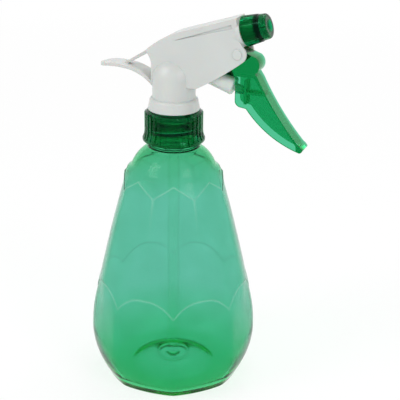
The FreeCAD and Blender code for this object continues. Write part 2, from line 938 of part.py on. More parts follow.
def make_retainer():
    body = new_body("tube_retainer")
    tube = size("tube_radius")
    socket = tube + size("insert_socket_wall")
    bottom = neck_top - size("insert_drop")
    flange_bottom = gasket_top - size("insert_flange_thickness")
    chamber = size("inlet_ball_radius") + size("inlet_chamber_gap")
    revolve(body, outline(body, "retainer_section", "XZ_Plane", [
        (tube, bottom),
        (socket, bottom),
        (socket, flange_bottom),
        (size("insert_flange"), flange_bottom),
        (size("insert_flange"), gasket_top),
        (size("insert_radius"), gasket_top),
        (size("insert_radius"), insert_top),
        (chamber, insert_top),
        (chamber, inlet_seat_z),
        (size("inlet_seat_bore"), inlet_seat_z),
        (size("inlet_seat_bore"), tube_top),
        (tube, tube_top),
    ]))
    return body


def make_tube():
    body = new_body("dip_tube")
    outer = size("tube_radius")
    inner = outer - size("tube_wall")
    bottom = size("pushup_height") + size("tube_clearance")
    revolve(body, outline(body, "tube_section", "XZ_Plane", [
        (inner, bottom),
        (outer, bottom),
        (outer, tube_top),
        (inner, tube_top),
    ]))
    end = outline(body, "tube_end_cut", "XZ_Plane", [
        (-outer - PAST, bottom - PAST),
        (outer + PAST, bottom - PAST),
        (outer + PAST, bottom),
        (-outer - PAST, bottom + outer + PAST),
    ])
    pocket(body, end, outer * 4)
    return body


def ball_body(name, radius):
    """A ball about its own body's origin."""
    body = new_body(name)
    revolve(body, outline(body, name + "_half", "XZ_Plane", [
        (0, -radius),
        Arc((radius, 0), radius),
        Arc((0, radius), radius),
    ]))
    return body


def seated_rise(radius, bore):
    """How far a ball's centre stands above the edge of its seat."""
    return root(radius * radius - bore * bore) + size("ball_clearance")


def make_inlet_ball():
    radius = size("inlet_ball_radius")
    body = ball_body("inlet_ball", radius)
    place(body, z=inlet_seat_z + seated_rise(radius, size("inlet_seat_bore")))
    return body


def make_outlet_ball():
    radius = size("outlet_ball_radius")
    body = ball_body("outlet_ball", radius)
    along = seated_rise(radius, size("outlet_seat_bore")) - size("outlet_seat_place")
    place(body, x=nozzle_x + along * cosine(nozzle_tilt), z=nozzle_z + along * sine(nozzle_tilt))
    return body


# Pump

def make_piston():
    body = new_body("pump_piston")
    radius = size("piston_radius")
    rear = -size("piston_rear")
    front = size("piston_front")
    hollow = radius - size("piston_wall")
    knob = size("knob_radius")
    rounding = size("piston_round")
    revolve(body, outline(body, "piston_section", "XZ_Plane", [
        (spring_front, 0),
        (size("knob_reach") + knob, 0),
        Arc((size("knob_reach"), knob), knob),
        (front, knob),
        (front, radius - rounding),
        (front - rounding, radius),
        (rear, radius),
        (rear, size("seal_seat_radius")),
        (seal_back, size("seal_seat_radius")),
        (seal_back, hollow),
        (spring_front, hollow),
    ]), "H_Axis")
    place(body, pump_x, pump_z, slope, downward=True)
    return body


def make_seal():
    body = new_body("piston_seal")
    rear = -size("piston_rear")
    lip = size("pump_bore") - size("seal_fit")
    revolve(body, outline(body, "seal_section", "XZ_Plane", [
        (seal_back, size("seal_seat_radius")),
        (rear, size("seal_seat_radius")),
        (rear, size("piston_radius")),
        (rear - size("seal_lip"), lip),
        (seal_back, lip),
    ]), "H_Axis")
    place(body, pump_x, pump_z, slope, downward=True)
    return body


def make_spring():
    body = new_body("return_spring")
    wire = size("spring_wire") / 2
    start = wire + edge_break - pump_depth
    length = spring_front - wire - start
    coil = circle(body, "spring_wire", "XZ_Plane", wire, start, size("spring_radius"))
    helix(body, coil, length / size("spring_turns"), size("spring_turns"), "H_Axis")
    place(body, pump_x, pump_z, slope, downward=True)
    return body


# Barrel end and nozzle

def make_spinner():
    body = new_body("spinner")
    head = size("barrel_bore") - size("press_gap")
    front = size("spigot_length")
    back = front - size("spinner_length")
    neck = front - size("spinner_head")
    rod = size("spinner_rod")
    revolve(body, outline(body, "spinner_section", "XZ_Plane", [
        (back, 0),
        (front, 0),
        (front, head),
        (neck, head),
        (neck, rod),
        (back, rod),
    ]), "H_Axis")
    floor = head - size("spinner_channel_depth")
    channel = outline(body, "spinner_channel", "XZ_Plane", [
        (neck - PAST, floor),
        (front + PAST, floor),
        (front + PAST, head + PAST),
        (neck - PAST, head + PAST),
    ])
    around(body, pocket(body, channel, size("spinner_channel_width")), Size.of(3), "X_Axis")
    place(body, nozzle_x, nozzle_z, nozzle_tilt)
    return body


def make_nozzle():
    body = new_body("nozzle")
    length = size("nozzle_length")
    bore = size("spigot_radius") + gap
    wall_back = length - size("nozzle_front_wall")
    recess = length - size("nozzle_recess")
    tip = size("nozzle_tip_radius")
    base = size("nozzle_base_radius") - size("nozzle_rib_depth")
    corner = size("nozzle_round")
    orifice = size("nozzle_orifice")
    revolve(body, outline(body, "nozzle_section", "XZ_Plane", [
        (0, bore),
        (wall_back, bore),
        (wall_back, orifice),
        (recess, orifice),
        (recess, size("nozzle_recess_radius")),
        (length, size("nozzle_recess_radius") + size("nozzle_recess_flare")),
        (length, tip - corner),
        Arc((length - corner, tip), corner),
        (edge_break, base),
        (0, base - edge_break),
    ]), "H_Axis")
    rib_end = size("nozzle_rib_length")
    end_radius = base - (base - tip) / (length - corner) * rib_end
    rib_depth = size("nozzle_rib_depth")
    rib = outline(body, "nozzle_rib", "XZ_Plane", [
        (edge_break, base - root_sink),
        (rib_end, end_radius - root_sink),
        (rib_end, end_radius + rib_depth / 2),
        (rib_end - size("nozzle_rib_runout"), end_radius + rib_depth),
        (edge_break, base + rib_depth),
    ])
    half_share = Size.of(180.0) / size("nozzle_ribs")
    around(body, revolve(body, rib, "H_Axis", half_share), size("nozzle_ribs"), "X_Axis")
    place(body, nozzle_x, nozzle_z, nozzle_tilt)
    return body


def make_washer():
    body = new_body("nozzle_seal")
    front = size("nozzle_length") - size("nozzle_front_wall")
    back = front - size("washer_thickness")
    revolve(body, outline(body, "washer_section", "XZ_Plane", [
        (back, size("washer_bore")),
        (front, size("washer_bore")),
        (front, size("spigot_radius")),
        (back, size("spigot_radius")),
    ]), "H_Axis")
    place(body, nozzle_x, nozzle_z, nozzle_tilt)
    return body


# Trigger

def from_pivot(ahead, above):
    """A point in shares of the trigger's length from its pivot."""
    reach = size("trigger_length")
    return (pivot_x + reach * ahead, pivot_z + reach * above)


def trigger_outline(body):
    """The side view: hub, square lug, straight back, and the blade that sweeps down and forward."""
    reach = size("trigger_length")
    hub = size("trunnion_radius") + size("hub_wall")
    back = pivot_x - size("trigger_back")
    upper_web = pivot_z - size("upper_web_drop")
    return outline(body, "trigger_side", "XZ_Plane", [
        (pivot_x - size("trigger_lug"), upper_web + edge_break * 2),
        (back, upper_web - edge_break * 2),
        (back, from_pivot(0, -0.42)[1]),
        Arc(from_pivot(0.04, -0.468), reach * 0.06),
        from_pivot(0.083, -0.475),
        Arc(from_pivot(0.575, -0.815), reach * 0.95),
        Arc(from_pivot(0.605, -0.788), reach * 0.033),
        Arc(from_pivot(0.566, -0.747), reach * 0.1),
        Arc(from_pivot(0.19, -0.205), reach * -2.5),
        from_pivot(0.158, -0.158),
        Arc(from_pivot(0.158, -0.015), reach * 0.088),
        from_pivot(0.058, 0.02),
        (pivot_x + hub * 0.6, pivot_z + hub * 0.8),
        Arc((pivot_x - hub, pivot_z), hub),
    ])


def make_trigger():
    body = new_body("trigger")
    width = size("trigger_width")
    back = pivot_x - size("trigger_back")
    upper_web = pivot_z - size("upper_web_drop")
    lower_web = pivot_z - size("lower_web_drop")
    pad(body, trigger_outline(body), width)
    pin = circle(body, "trunnion", "XZ_Plane", size("trunnion_radius"), pivot_x, pivot_z)
    pad(body, pin, width + size("trunnion_depth") * 2)
    inside = width - size("trigger_wall") * 2
    hollow_top = upper_web - size("web_thickness") / 2
    hollow_x = back - size("trigger_lug")
    pocket(body, outline(body, "trigger_hollow", "XZ_Plane", [
        (hollow_x, hollow_top),
        (hollow_x, from_pivot(0, -0.67)[1]),
        from_pivot(0.25, -0.917),
        from_pivot(0.545, -0.86),
        from_pivot(0.537, -0.762),
        from_pivot(0.31, -0.448),
        from_pivot(0.16, -0.225),
        (from_pivot(0.137, 0)[0], hollow_top),
    ]), inside)
    add_pusher(body, back, lower_web, inside)
    return body


def add_pusher(body, back, lower_web, inside):
    """The lower web, slotted for the piston's knob, and the wall that pushes on the knob."""
    half_web = size("web_thickness") / 2
    bite = inside + size("web_bite") * 2
    web_front = from_pivot(0.24, 0)[0]
    pad(body, outline(body, "lower_web", "XZ_Plane", [
        (back, lower_web - half_web),
        (web_front, lower_web - half_web),
        (web_front, lower_web + half_web),
        (back, lower_web + half_web),
    ]), bite)
    knob = size("knob_radius")
    pusher = pump_x + size("knob_reach") * cosine(slope) + knob + gap
    pocket(body, outline(body, "knob_slot", "XZ_Plane", [
        (back - PAST, lower_web - half_web - PAST),
        (pusher, lower_web - half_web - PAST),
        (pusher, lower_web + half_web + PAST),
        (back - PAST, lower_web + half_web + PAST),
    ]), (knob + gap) * 2)
    face = pusher + size("pusher_thickness")
    top = lower_web + size("pusher_above")
    bottom = lower_web - size("pusher_below")
    pad(body, outline(body, "pusher", "XZ_Plane", [
        (pusher, bottom),
        (face, bottom),
        (face, top),
        (pusher, top),
    ]), bite)


# Build, check and write

parts = [
    make_bottle(),
    make_cap(),
    make_gasket(),
    make_housing(),
    make_retainer(),
    make_tube(),
    make_inlet_ball(),
    make_outlet_ball(),
    make_piston(),
    make_seal(),
    make_spring(),
    make_spinner(),
    make_nozzle(),
    make_washer(),
    make_trigger(),
]
doc.recompute()

faults = [thing.Name for thing in doc.Objects if {"Invalid", "Error"} & set(thing.State)]
for part in parts:
    shape = part.Shape
    if shape.isNull() or not shape.isValid() or len(shape.Solids) != 1:
        faults.append(part.Label)
if faults:
    raise RuntimeError("faulty: " + ", ".join(faults))

os.makedirs("parts", exist_ok=True)
for part in parts:
    part.Shape.exportStep("parts/%s.step" % part.Label)
    print(part.Label, round(part.Shape.Volume, 1), part.Shape.BoundBox)
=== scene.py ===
import math

import bpy
from mathutils import Matrix, Vector


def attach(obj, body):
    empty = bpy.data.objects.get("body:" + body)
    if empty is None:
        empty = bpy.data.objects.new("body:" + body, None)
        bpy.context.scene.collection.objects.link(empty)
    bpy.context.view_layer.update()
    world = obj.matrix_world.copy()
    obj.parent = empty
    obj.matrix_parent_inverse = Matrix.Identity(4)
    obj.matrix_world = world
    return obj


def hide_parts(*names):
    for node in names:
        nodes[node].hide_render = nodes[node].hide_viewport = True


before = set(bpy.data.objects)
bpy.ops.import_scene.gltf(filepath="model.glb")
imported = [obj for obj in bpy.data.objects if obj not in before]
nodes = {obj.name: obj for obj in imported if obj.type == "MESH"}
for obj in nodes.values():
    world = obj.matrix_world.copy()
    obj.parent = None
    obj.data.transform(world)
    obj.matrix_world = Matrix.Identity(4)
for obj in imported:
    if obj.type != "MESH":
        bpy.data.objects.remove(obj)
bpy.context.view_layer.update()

# Millimetres in the sizes below, metres in the scene
MM = 0.001

# Bottle: its columns round the axis and the rows of each stretch of a column
SECTORS = 8
COLUMNS_PER_SECTOR = 32
HALF = math.radians(180.0 / SECTORS)
PUSHUP_ROWS = 26
PETAL_ROWS = 20
ARCH_ROWS = 18
PANEL_ROWS = 30
CROWN_ROWS = 8
DOME_ROWS = 14
NECK_ROWS = 6
INNER_FOOT_ROWS = 14

# Bottle: radius and height of the places along its profile, and the curves between them
FOOT_RADIUS = 34.1
FOOT_CORNER = (39.7, 2.9)
BOWL_ARC = 41.1
BELLY = (46.8, 26.0)
PANEL_FOOT = (43.2, 51.2)
PETAL_TIP_Z = 60.6
ARCH_POWER = 2.4
PETAL_BOW = 35.0
PANEL_BOW = 24.0
FLANK_TOP = (27.7, 115.0)
FLANK_SAG = 0.55
PEAK = (26.8, 121.5)
ZIGZAG_LOW_Z = 114.2
RING = (25.6, 123.2)
RING_GROOVE = 0.35
CREASE = (23.3, 125.2)
DOME_ARC = 19.0
BEAD = (14.2, 135.8)
BEAD_BULGE = 0.15
BEAD_TOP_Z = 137.5
NECK_FOOT_RISE = 0.9
NECK_RADIUS = 12.6
NECK_TOP_Z = 152.6

# Bottle: the dished foot
PUSHUP_RADIUS = 24.0
PUSHUP_HEIGHT = 8.0
PUSHUP_POWER = 2.2
NUB_DEPTH = 2.2
NUB_RADIUS = 3.0
FOOT_RING_RADIUS = 8.5
FOOT_RING_WIDTH = 1.1
FOOT_RING_DEPTH = 0.9

# Bottle: its wall
WALL = 0.8
FOOT_WALL = 3.2
FOOT_WALL_FADE = 11.0
NECK_WALL = 1.9
NECK_WALL_FOOT_Z = CREASE[1] + 3.0
LEAST_INNER_RADIUS = 0.3

# Bottle: how round its edges are, and the raised lines along them, which also set where the painted
# highlight lines lie
EDGE_SOFT = math.radians(1.4)
RIDGE_SOFT = math.radians(2.4)
LINE_HEIGHT = 0.22
LINE_WIDTH = 0.3
STRIP_WIDTH = math.radians(1.2)
STRIP_LENGTH = 7.0

# Bottle: its greens from the foot up, and the pale green painted as highlight lines on its moulded
# edges
FOOT_GREEN = (0.20, 0.665, 0.45)
BODY_GREEN = (0.40, 0.735, 0.67)
SHOULDER_GREEN = (0.32, 0.69, 0.53)
# Painted highlight: the pale green mixed in along the moulded edges
EDGE_HIGHLIGHT_GREEN = (0.42, 0.82, 0.64)
FOOT_GREEN_TOP = 8.0
BODY_GREEN_FOOT = 34.0
SHOULDER_GREEN_FOOT = CREASE[1] + 5.0

# Neck thread
THREAD_PITCH = 4.233
THREAD_START_Z = 142.2
THREAD_TURNS = 1.5
THREAD_SEGMENTS = 140
THREAD_HEIGHT = 1.05
THREAD_SINK = 0.2
THREAD_HALF_FOOT = 1.0
THREAD_HALF_CREST = 0.5
THREAD_RUNOUTS = 12.0

# Nozzle: where its axis starts, its tilt, and its greens
NOZZLE_FOOT = (39.3, 202.5)
NOZZLE_TILT = math.radians(17.7)
NOZZLE_LENGTH = 13.5
NOZZLE_GREEN = (0.015, 0.44, 0.20)
NOZZLE_BAND = (0.001, 0.02, 0.01)

# Camera, and the width and focal length of its picture in pixels
CAMERA_AZIMUTH = math.radians(22.5)
CAMERA_ELEVATION = 0.3709
CAMERA_DISTANCE = 0.6
CAMERA_TARGET = (0.0, 0.0, 0.11)
CAMERA_YAW = 0.0262
CAMERA_PITCH = 0.3805
CAMERA_ROLL = 0.0126
SENSOR_WIDTH = 36.0
PICTURE_WIDTH = 400.0
FOCAL_LENGTH = 1083.45

# Where the lamps point
LAMP_AIM = (0.0, 0.0, 0.1)


# Materials

def new_material(name):
    """A material with its node tree and its Principled shader."""
    material = bpy.data.materials.new(name)
    material.use_nodes = True
    tree = material.node_tree
    return material, tree, tree.nodes["Principled BSDF"]


def add(tree, kind, **settings):
    """A new node with these settings."""
    node = tree.nodes.new(kind)
    for key, value in settings.items():
        setattr(node, key, value)
    return node


def grain(tree, shader, scale, strength, distance, detail=3.0):
    """A fine moulded texture in the surface's bump."""
    place = add(tree, "ShaderNodeTexCoord")
    noise = add(tree, "ShaderNodeTexNoise")
    noise.inputs["Scale"].default_value = scale
    noise.inputs["Detail"].default_value = detail
    bump = add(tree, "ShaderNodeBump")
    bump.inputs["Strength"].default_value = strength
    bump.inputs["Distance"].default_value = distance
    tree.links.new(place.outputs["Object"], noise.inputs["Vector"])
    tree.links.new(noise.outputs["Fac"], bump.inputs["Height"])
    tree.links.new(bump.outputs["Normal"], shader.inputs["Normal"])
    return bump


def color_ramp(tree, first, last, stops=()):
    """A ramp between two colours, with more colours at given shares between them."""
    ramp = add(tree, "ShaderNodeValToRGB")
    elements = ramp.color_ramp.elements
    elements[0].color = (*first, 1.0)
    elements[1].color = (*last, 1.0)
    for position, color in stops:
        elements.new(position).color = (*color, 1.0)
    return ramp


def mottle(tree, scale, low, high):
    """A colour that drifts gently between two over the surface."""
    place = add(tree, "ShaderNodeTexCoord")
    noise = add(tree, "ShaderNodeTexNoise")
    noise.inputs["Scale"].default_value = scale
    noise.inputs["Detail"].default_value = 2.0
    ramp = color_ramp(tree, low, high)
    ramp.color_ramp.elements[0].position = 0.3
    ramp.color_ramp.elements[1].position = 0.7
    tree.links.new(place.outputs["Object"], noise.inputs["Vector"])
    tree.links.new(noise.outputs["Fac"], ramp.inputs["Fac"])
    return ramp.outputs["Color"]


def paint_crease_highlights(tree, shader, share):
    """Paints a highlight on the bottle's moulded edges: a pale green diffuse mixed in along the
    crease attribute, as thin pale lines where the edges catch the light.
    """
    crease = add(tree, "ShaderNodeAttribute", attribute_name="crease")
    part = add(tree, "ShaderNodeMath", operation="MULTIPLY")
    part.inputs[1].default_value = share
    # Painted highlight: a pale green diffuse in place of the light the edges catch
    painted_highlight = add(tree, "ShaderNodeBsdfDiffuse")
    painted_highlight.inputs["Color"].default_value = (*EDGE_HIGHLIGHT_GREEN, 1.0)
    mix = add(tree, "ShaderNodeMixShader")
    tree.links.new(crease.outputs["Fac"], part.inputs[0])
    tree.links.new(part.outputs["Value"], mix.inputs["Fac"])
    tree.links.new(shader.outputs["BSDF"], mix.inputs[1])
    tree.links.new(painted_highlight.outputs["BSDF"], mix.inputs[2])
    return mix.outputs["Shader"]


def let_light_through(tree, surface, tint):
    """Shadow rays pass the clear plastic with its tint, so that it doesn't cast a black shadow."""
    path = add(tree, "ShaderNodeLightPath")
    clear = add(tree, "ShaderNodeBsdfTransparent")
    clear.inputs["Color"].default_value = (*tint, 1.0)
    mix = add(tree, "ShaderNodeMixShader")
    tree.links.new(path.outputs["Is Shadow Ray"], mix.inputs["Fac"])
    tree.links.new(surface, mix.inputs[1])
    tree.links.new(clear.outputs["BSDF"], mix.inputs[2])
    tree.links.new(mix.outputs["Shader"], tree.nodes["Material Output"].inputs["Surface"])


def absorb(tree, color, density):
    """Light takes on this colour on its way through the solid."""
    volume = add(tree, "ShaderNodeVolumeAbsorption")
    volume.inputs["Color"].default_value = (*color, 1.0)
    volume.inputs["Density"].default_value = density
    tree.links.new(volume.outputs["Volume"], tree.nodes["Material Output"].inputs["Volume"])


def clear_plastic(
    name, base, sheen, bend, absorbed, density, roughness, shadow_tint, wave, crease_highlight=0.0
):
    """Clear coloured plastic. It has a tint for its surface, one for its reflections and one for
    its shadow, an absorbed colour with a density, and a wave, the settings of its grain. A crease
    share above nought mixes in the painted highlight lines on the moulded edges."""
    material, tree, shader = new_material(name)
    shader.inputs["Base Color"].default_value = (*base, 1.0)
    shader.inputs["Transmission Weight"].default_value = 1.0
    shader.inputs["IOR"].default_value = bend
    shader.inputs["Specular Tint"].default_value = (*sheen, 1.0)
    shader.inputs["Roughness"].default_value = roughness
    absorb(tree, absorbed, density)
    surface = paint_crease_highlights(tree, shader, crease_highlight) if crease_highlight else shader.outputs["BSDF"]
    let_light_through(tree, surface, shadow_tint)
    grain(tree, shader, *wave)
    return material, tree, shader


def bottle_plastic():
    """Greener where the wall is heavy, at the foot and the shoulder, and paler in the thin body."""
    material, tree, shader = clear_plastic(
        "bottle_plastic",
        base=BODY_GREEN,
        sheen=(1.0, 1.0, 1.0),
        bend=1.16,
        absorbed=(0.03, 0.90, 0.45),
        density=150.0,
        roughness=0.12,
        shadow_tint=(0.55, 0.85, 0.72),
        wave=(45.0, 0.3, 0.0006, 2.0),
        # Share of painted highlight mixed in along the moulded edges
        crease_highlight=0.3,
    )
    place = add(tree, "ShaderNodeTexCoord")
    parts = add(tree, "ShaderNodeSeparateXYZ")
    share = add(tree, "ShaderNodeMapRange")
    share.inputs["From Max"].default_value = NECK_TOP_Z * MM
    ramp = color_ramp(tree, FOOT_GREEN, SHOULDER_GREEN, [
        (FOOT_GREEN_TOP / NECK_TOP_Z, FOOT_GREEN),
        (BODY_GREEN_FOOT / NECK_TOP_Z, BODY_GREEN),
        (ZIGZAG_LOW_Z / NECK_TOP_Z, BODY_GREEN),
        (SHOULDER_GREEN_FOOT / NECK_TOP_Z, SHOULDER_GREEN),
    ])
    cloud = mottle(tree, 70.0, (0.90, 0.95, 0.92), (1.0, 1.0, 1.0))
    blend = add(tree, "ShaderNodeMix", data_type="RGBA", blend_type="MULTIPLY")
    blend.inputs["Factor"].default_value = 1.0
    tree.links.new(place.outputs["Object"], parts.inputs["Vector"])
    tree.links.new(parts.outputs["Z"], share.inputs["Value"])
    tree.links.new(share.outputs["Result"], ramp.inputs["Fac"])
    color_a, color_b = [socket for socket in blend.inputs if socket.type == "RGBA"]
    blended = next(socket for socket in blend.outputs if socket.type == "RGBA")
    tree.links.new(ramp.outputs["Color"], color_a)
    tree.links.new(cloud, color_b)
    tree.links.new(blended, shader.inputs["Base Color"])
    return material


def trigger_plastic():
    material, _, _ = clear_plastic(
        "trigger_green",
        base=(0.15, 0.63, 0.39),
        sheen=(0.15, 0.6, 0.35),
        bend=1.3,
        absorbed=(0.013, 0.762, 0.526),
        density=400.0,
        roughness=0.08,
        shadow_tint=(0.35, 0.75, 0.55),
        wave=(150.0, 0.1, 0.0002, 2.0),
    )
    return material


def tube_plastic():
    material, _, _ = clear_plastic(
        "tube_plastic",
        base=(0.96, 0.995, 0.975),
        sheen=(0.5, 0.5, 0.5),
        bend=1.03,
        absorbed=(0.4, 0.8, 0.5),
        density=30.0,
        roughness=0.05,
        shadow_tint=(0.85, 0.87, 0.86),
        wave=(300.0, 0.2, 0.0002, 2.0),
    )
    return material


def cap_plastic():
    material, _, _ = clear_plastic(
        "dark_green",
        base=(0.02, 0.42, 0.20),
        sheen=(0.10, 0.55, 0.30),
        bend=1.45,
        absorbed=(0.001, 0.62, 0.38),
        density=350.0,
        roughness=0.12,
        shadow_tint=(0.05, 0.35, 0.2),
        wave=(500.0, 0.15, 0.0002, 3.0),
    )
    return material


def white_plastic():
    material, tree, shader = new_material("white_plastic")
    color = mottle(tree, 30.0, (0.555, 0.58, 0.565), (0.595, 0.62, 0.60))
    tree.links.new(color, shader.inputs["Base Color"])
    shader.inputs["Roughness"].default_value = 0.38
    shader.inputs["Subsurface Weight"].default_value = 0.25
    shader.inputs["Subsurface Scale"].default_value = 0.003
    bump = grain(tree, shader, 700.0, 0.2, 0.0002)
    soften_edges(tree, bump, 0.0005)
    return material


def soften_edges(tree, bump, radius):
    """Shade the sharp edges of a solid as if they were rounded."""
    bevel = add(tree, "ShaderNodeBevel", samples=6)
    bevel.inputs["Radius"].default_value = radius
    tree.links.new(bevel.outputs["Normal"], bump.inputs["Normal"])


def piston_plastic():
    material, tree, shader = new_material("piston_plastic")
    color = mottle(tree, 60.0, (0.55, 0.60, 0.57), (0.60, 0.64, 0.61))
    tree.links.new(color, shader.inputs["Base Color"])
    shader.inputs["Roughness"].default_value = 0.25
    shader.inputs["Subsurface Weight"].default_value = 0.5
    shader.inputs["Subsurface Scale"].default_value = 0.004
    grain(tree, shader, 500.0, 0.1, 0.0002)
    return material


def nozzle_plastic():
    """Clear deep green, with a near-black band in its colour a little past the middle of its
    length.
    """
    material, tree, shader = clear_plastic(
        "nozzle_green",
        base=NOZZLE_GREEN,
        sheen=(0.08, 0.45, 0.25),
        bend=1.4,
        absorbed=(0.001, 0.66, 0.42),
        density=220.0,
        roughness=0.10,
        shadow_tint=(0.05, 0.35, 0.2),
        wave=(500.0, 0.15, 0.0002, 3.0),
    )
    place = add(tree, "ShaderNodeTexCoord")
    axis = Vector((math.cos(NOZZLE_TILT), 0.0, math.sin(NOZZLE_TILT)))
    foot = Vector((NOZZLE_FOOT[0], 0.0, NOZZLE_FOOT[1])) * MM
    along = add(tree, "ShaderNodeVectorMath", operation="DOT_PRODUCT")
    along.inputs[1].default_value = axis
    tree.links.new(place.outputs["Object"], along.inputs[0])
    share = add(tree, "ShaderNodeMapRange")
    share.inputs["From Min"].default_value = foot.dot(axis)
    share.inputs["From Max"].default_value = foot.dot(axis) + NOZZLE_LENGTH * MM
    tree.links.new(along.outputs["Value"], share.inputs["Value"])
    ramp = color_ramp(tree, NOZZLE_GREEN, NOZZLE_GREEN, [
        (0.46, NOZZLE_GREEN),
        (0.56, NOZZLE_BAND),
        (0.69, NOZZLE_BAND),
        (0.80, NOZZLE_GREEN),
    ])
    tree.links.new(share.outputs["Result"], ramp.inputs["Fac"])
    tree.links.new(ramp.outputs["Color"], shader.inputs["Base Color"])
    return material


def seal_rubber():
    material, tree, shader = new_material("soft_seal")
    color = mottle(tree, 80.0, (0.55, 0.56, 0.54), (0.62, 0.63, 0.61))
    tree.links.new(color, shader.inputs["Base Color"])
    shader.inputs["Roughness"].default_value = 0.6
    grain(tree, shader, 300.0, 0.3, 0.0003)
    return material


def spring_steel():
    material, tree, shader = new_material("steel")
    color = mottle(tree, 200.0, (0.50, 0.50, 0.50), (0.62, 0.62, 0.61))
    tree.links.new(color, shader.inputs["Base Color"])
    shader.inputs["Metallic"].default_value = 1.0
    shader.inputs["Roughness"].default_value = 0.25
    grain(tree, shader, 900.0, 0.1, 0.0001)
    return material


def dress(name, material):
    """Give a piece of the frame its material."""
    mesh = nodes[name].data
    mesh.materials.clear()
    mesh.materials.append(material)


# Bottle shape. A column is the outer profile at one angle, from the middle of the foot to the neck.

def softened(angle, width):
    """The angle from a ridge, rounded off near the ridge."""
    return math.sqrt(angle * angle + width * width)


def bowed(middle, bow, angle):
    """The radius at an angle from the middle of a facet that bulges gently."""
    reach = middle + bow
    across = bow * math.sin(angle)
    return math.sqrt(reach * reach - across * across) - bow * math.cos(angle)


def facet_middle(ridge, bow):
    """The radius at the middle of a facet whose ridges have this radius."""
    along = ridge + bow * math.cos(HALF)
    across = bow * math.sin(HALF)
    return math.hypot(along, across) - bow


def ridge_radius(z):
    """The radius of the ridges between the petals, from the foot to the belly."""
    if z >= FOOT_CORNER[1]:
        return BELLY[0] - BOWL_ARC + math.sqrt(BOWL_ARC ** 2 - (BELLY[1] - z) ** 2)
    share = z / FOOT_CORNER[1]
    return FOOT_RADIUS + (FOOT_CORNER[0] - FOOT_RADIUS) * math.sqrt(share * (2.0 - share))


def flank_radius(z):
    """The radius at the middle of the upper panels."""
    if z > FLANK_TOP[1]:
        share = (z - FLANK_TOP[1]) / (PEAK[1] - FLANK_TOP[1])
        return FLANK_TOP[0] + (PEAK[0] - FLANK_TOP[0]) * share
    share = (z - PANEL_FOOT[1]) / (FLANK_TOP[1] - PANEL_FOOT[1])
    sag = FLANK_SAG * 4.0 * share * (1.0 - share)
    return PANEL_FOOT[0] + (FLANK_TOP[0] - PANEL_FOOT[0]) * share + sag


def panel_radius(angle, z):
    """The surface of an upper panel at an angle from its middle."""
    fade = min(max((z - PANEL_FOOT[1]) / (FLANK_TOP[1] - PANEL_FOOT[1]), 0.0), 1.0)
    width = EDGE_SOFT * (2.5 - 1.5 * fade)
    turn = HALF - softened(HALF - angle, width)
    return bowed(flank_radius(z), PANEL_BOW, turn)


def petal_radius(angle, z):
    """The surface of a lower petal at an angle from its middle, below the belly."""
    turn = HALF - softened(HALF - angle, RIDGE_SOFT)
    return bowed(facet_middle(ridge_radius(z), PETAL_BOW), PETAL_BOW, turn)


def steps(count):
    """The shares of a stretch in equal steps, ending at 1."""
    return [(index + 1) / count for index in range(count)]


def eased(share):
    """A share that takes small steps at both ends."""
    return 0.5 - 0.5 * math.cos(math.pi * share)


def pushup_points():
    """The dished middle of the foot, from its centre nub outwards."""
    points = []
    for share in steps(PUSHUP_ROWS):
        radius = PUSHUP_RADIUS * share
        height = PUSHUP_HEIGHT * (1.0 - share ** PUSHUP_POWER)
        nub = NUB_DEPTH * math.exp(-((radius / NUB_RADIUS) ** 4))
        ring = FOOT_RING_DEPTH * math.exp(-(((radius - FOOT_RING_RADIUS) / FOOT_RING_WIDTH) ** 2))
        points.append((radius, height - nub - ring))
    return points


def arch_height(from_petal):
    """The arched top of a petal, lowest between two petals."""
    return PETAL_TIP_Z - (PETAL_TIP_Z - PANEL_FOOT[1]) * (from_petal / HALF) ** ARCH_POWER


def zigzag_height(from_panel):
    """The zigzag top of the panels, highest at the middle of a panel."""
    return PEAK[1] - (PEAK[1] - ZIGZAG_LOW_Z) * (from_panel / HALF)


def ridge_strip(from_petal, z, top):
    """The raised start of the ridge between two panels, just under the zigzag."""
    return math.exp(-((from_petal / STRIP_WIDTH) ** 2) - (top - z) / STRIP_LENGTH)


def crease_share(from_petal, from_panel, z):
    """How much a point lies on one of the body's moulded edges."""
    arch = math.exp(-(((z - arch_height(from_petal)) / LINE_WIDTH) ** 2))
    top = zigzag_height(from_panel)
    edge = math.exp(-(((z - top) / LINE_WIDTH) ** 2))
    strip = ridge_strip(from_petal, z, top) if arch_height(from_petal) < z < top else 0.0
    return max(arch, edge, strip)


def body_points(from_petal, from_panel):
    """The faceted body from the foot to the ring under the shoulder."""
    petal_top = arch_height(from_petal)
    zigzag = zigzag_height(from_panel)
    points = []
    for share in steps(PETAL_ROWS):
        z = BELLY[1] * (1.0 - math.cos(share * math.pi / 2.0))
        points.append((petal_radius(from_petal, z), z))
    belly = points[-1][0]
    top = panel_radius(from_panel, petal_top)
    sunk = 1.0 - (from_petal / HALF) ** 1.5
    for share in steps(ARCH_ROWS):
        share = eased(share)
        down = 1.0 - share
        curve = (1.0 - sunk) * (1.0 - (1.0 - down) ** 2) + sunk * down ** 2
        points.append((top + (belly - top) * curve, BELLY[1] + (petal_top - BELLY[1]) * share))
    points[-1] = (top + LINE_HEIGHT, petal_top)
    for share in steps(PANEL_ROWS):
        z = petal_top + (zigzag - petal_top) * eased(share)
        strip = ridge_strip(from_petal, z, zigzag)
        points.append((panel_radius(from_panel, z) + LINE_HEIGHT * strip, z))
    low = points[-1][0]
    points[-1] = (low + LINE_HEIGHT, zigzag)
    for share in steps(CROWN_ROWS):
        share = eased(share)
        points.append((low + (RING[0] - low) * share, zigzag + (RING[1] - zigzag) * share))
    return points


